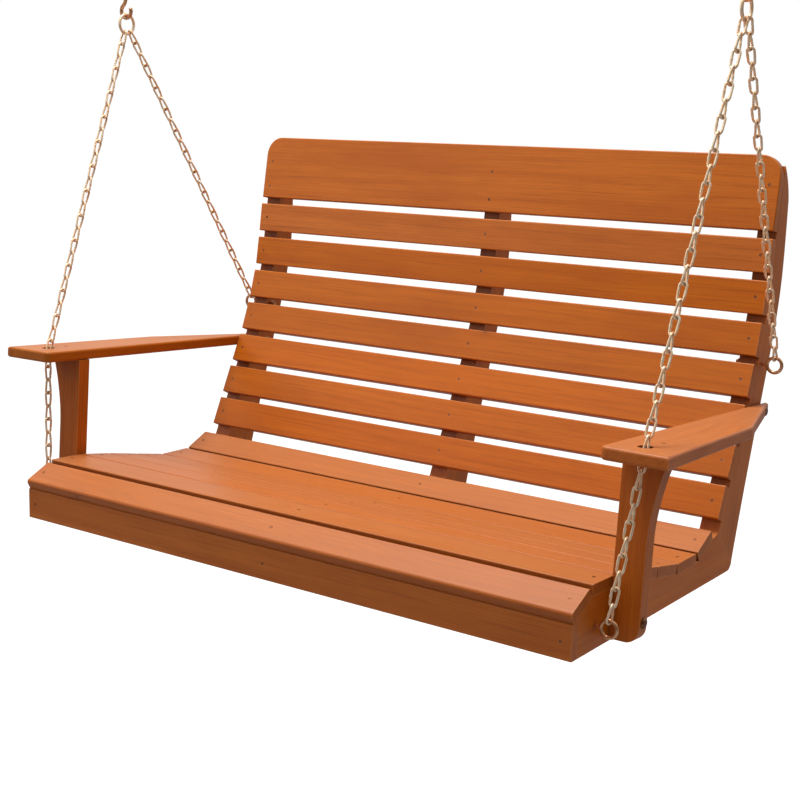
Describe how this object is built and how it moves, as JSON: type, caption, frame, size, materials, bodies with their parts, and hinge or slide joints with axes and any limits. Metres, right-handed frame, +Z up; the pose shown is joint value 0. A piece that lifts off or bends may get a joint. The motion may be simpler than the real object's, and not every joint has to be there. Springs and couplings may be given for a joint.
{
  "type": "porch swing",
  "caption": "Slatted wooden bench swing with a curved seat, tall reclined back and paddle arms, hung on chains from ceiling hooks",
  "frame": {"origin": "middle of the line on which the swing turns, which runs through the bowls of the two ceiling hooks", "axes": "+X to the right of someone standing in front of the swing, +Y to the back, +Z up; the bench hangs below the origin at rest"},
  "size_m": [1.478, 0.8056, 1.1201],
  "materials": {
    "stained_wood": "orange-brown stain, satin",
    "chain_steel": "bright plating with a warm tint",
    "fitting_steel": "plated",
    "screw_steel": "dark coated"
  },
  "bodies": {
    "ceiling_hooks": {"ceiling_hook_left": "fitting_steel", "ceiling_hook_right": "fitting_steel"},
    "swing": {"apron": "stained_wood", "apron_screws": "screw_steel", "arm_bolt_left": "fitting_steel", "arm_bolt_right": "fitting_steel", "arm_left": "stained_wood", "arm_post_left": "stained_wood", "arm_post_right": "stained_wood", "arm_right": "stained_wood", "arm_screws": "screw_steel", "back_slat_1": "stained_wood", "back_slat_2": "stained_wood", "back_slat_3": "stained_wood", "back_slat_4": "stained_wood", "back_slat_5": "stained_wood", "back_slat_6": "stained_wood", "back_slat_7": "stained_wood", "back_slat_screws": "screw_steel", "frame_joint_screws": "screw_steel", "front_chain_lower_left": "chain_steel", "front_chain_lower_right": "chain_steel", "front_chain_upper_left": "chain_steel", "front_chain_upper_right": "chain_steel", "front_eye_bolt_left": "fitting_steel", "front_eye_bolt_right": "fitting_steel", "joining_ring_left": "chain_steel", "joining_ring_right": "chain_steel", "nuts": "fitting_steel", "post_bolt_left": "fitting_steel", "post_bolt_right": "fitting_steel", "rear_chain_left": "chain_steel", "rear_chain_right": "chain_steel", "rear_eye_bolt_left": "fitting_steel", "rear_eye_bolt_right": "fitting_steel", "seat_rail_centre": "stained_wood", "seat_rail_left": "stained_wood", "seat_rail_right": "stained_wood", "seat_slat_1": "stained_wood", "seat_slat_2": "stained_wood", "seat_slat_3": "stained_wood", "seat_slat_4": "stained_wood", "seat_slat_5": "stained_wood", "seat_slat_6": "stained_wood", "seat_slat_7": "stained_wood", "seat_slat_screws": "screw_steel", "top_board": "stained_wood", "upright_centre": "stained_wood", "upright_left": "stained_wood", "upright_right": "stained_wood", "washers": "fitting_steel"}
  },
  "joints": [
    {"name": "swing_to_and_fro", "type": "hinge", "parent": "ceiling_hooks", "child": "swing", "pos_m": [0, 0, 0], "axis": [1, 0, 0], "range_deg": [-30, 30]}
  ]
}
